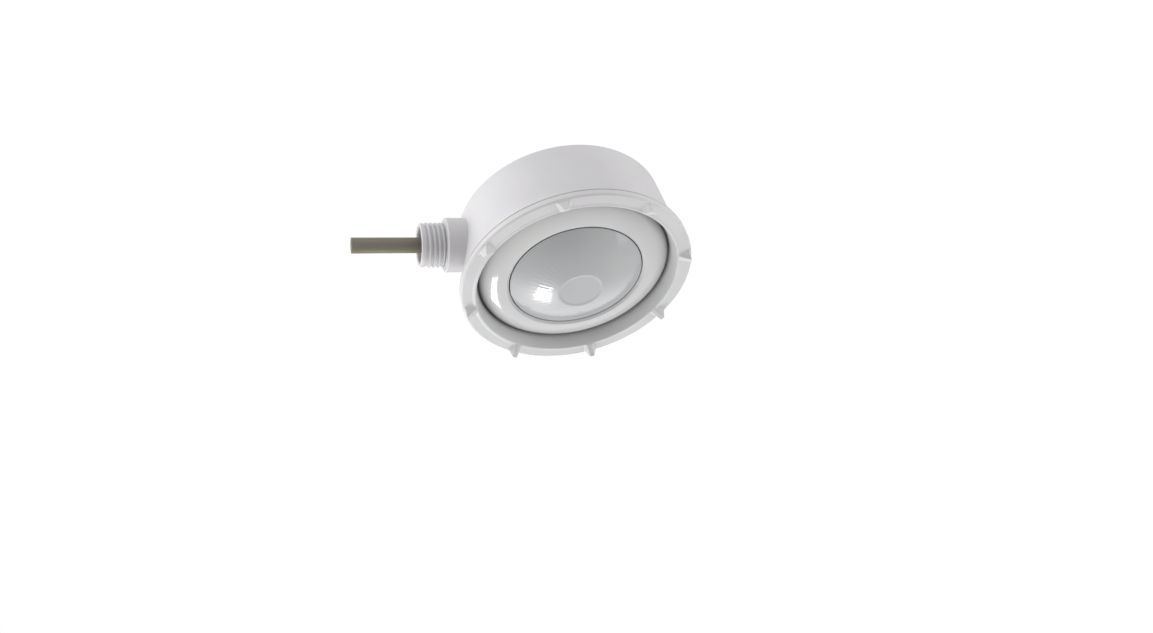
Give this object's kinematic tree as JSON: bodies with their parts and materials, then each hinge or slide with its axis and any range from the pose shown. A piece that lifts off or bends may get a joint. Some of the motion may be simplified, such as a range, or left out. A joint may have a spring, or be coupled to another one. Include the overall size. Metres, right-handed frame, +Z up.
{
  "type": "underwater pool light",
  "caption": "Round underwater light: plastic pot with threaded side nipple and cable, screw-on lugged trim ring, bezel, domed frosted lens, halogen capsule in a reflector.",
  "frame": {"origin": "centre of the pot's flat back face, on the lamp's axis", "axes": "-Y along the lamp's axis, the way the light shines; -X along the nipple and cable; +Z up"},
  "size_m": [0.199, 0.0559, 0.14],
  "materials": {
    "pot_plastic": "satin moulded white plastic",
    "ring_plastic": "satin moulded white plastic",
    "bezel_plastic": "glossy white plastic",
    "inner_plastic": "unpolished off-white plastic",
    "gland_plastic": "dark moulded plastic",
    "lens_glass": "frosted, fluted pressed glass",
    "bulb_glass": "clear quartz glass",
    "holder_ceramic": "unglazed ceramic",
    "seal_rubber": "matt black rubber",
    "cable_rubber": "satin grey-brown cable sheath",
    "core_brown": "brown core insulation",
    "core_blue": "blue core insulation",
    "lead_silicone": "heat-proof silicone insulation",
    "reflector_metal": "polished spun aluminium",
    "sheet_steel": "plain sheet steel",
    "screw_steel": "bright stainless steel",
    "pin_metal": "plated pin",
    "tungsten": "coiled tungsten wire",
    "brass": "turned brass"
  },
  "bodies": {
    "pot": {"housing_pot": "pot_plastic", "pot_gasket": "seal_rubber", "reflector": "reflector_metal", "reflector_screw_1": "screw_steel", "reflector_screw_2": "screw_steel", "reflector_screw_3": "screw_steel", "lamp_holder": "holder_ceramic", "holder_clip": "sheet_steel", "holder_screw_1": "screw_steel", "holder_screw_2": "screw_steel", "cable_sheath": "cable_rubber", "terminal_block": "inner_plastic", "cable_clamp": "inner_plastic", "block_screw": "screw_steel", "clamp_screw_1": "screw_steel", "clamp_screw_2": "screw_steel", "cable_core_1": "core_brown", "cable_core_2": "core_blue", "lamp_lead_1": "lead_silicone", "lamp_lead_2": "lead_silicone", "terminal_screw_1": "brass", "terminal_screw_2": "brass", "terminal_screw_3": "brass", "terminal_screw_4": "brass", "gland_bush": "seal_rubber"},
    "lens_cover": {"bezel_ring": "bezel_plastic", "lens": "lens_glass", "lens_gasket": "seal_rubber", "lens_retainer": "inner_plastic", "retainer_screw_1": "screw_steel", "retainer_screw_2": "screw_steel", "retainer_screw_3": "screw_steel", "retainer_screw_4": "screw_steel"},
    "ring_slide": {"slip_ring": "inner_plastic"},
    "ring": {"trim_ring": "ring_plastic"},
    "gland_slide": {"gland_washer": "inner_plastic"},
    "gland": {"gland_nut": "gland_plastic"},
    "bulb": {"bulb_envelope": "bulb_glass", "bulb_pinch": "bulb_glass", "bulb_filament": "tungsten", "bulb_pin_1": "pin_metal", "bulb_pin_2": "pin_metal"}
  },
  "joints": [
    {"name": "cover_lift", "type": "slide", "parent": "pot", "child": "lens_cover", "axis": [0, -1, 0], "range_m": [0, 0.04]},
    {"name": "ring_advance", "type": "slide", "parent": "lens_cover", "child": "ring_slide", "axis": [0, -1, 0], "range_m": [0, 0.009]},
    {"name": "ring_turn", "type": "hinge", "parent": "ring_slide", "child": "ring", "pos_m": [0, -0.0463, 0], "axis": [0, -1, 0], "range_deg": [0, 1080]},
    {"name": "gland_advance", "type": "slide", "parent": "pot", "child": "gland_slide", "axis": [-1, 0, 0], "range_m": [0, 0.003]},
    {"name": "gland_turn", "type": "hinge", "parent": "gland_slide", "child": "gland", "pos_m": [-0.0833, -0.0169, 0], "axis": [-1, 0, 0], "range_deg": [0, 720]},
    {"name": "bulb_pull", "type": "slide", "parent": "pot", "child": "bulb", "axis": [0, -1, 0], "range_m": [0, 0.0075]}
  ],
  "couplings": [
    {"joint": "ring_advance", "follows": "ring_turn", "m_per_rad": 0.00047746},
    {"joint": "gland_advance", "follows": "gland_turn", "m_per_rad": 0.00023873}
  ]
}
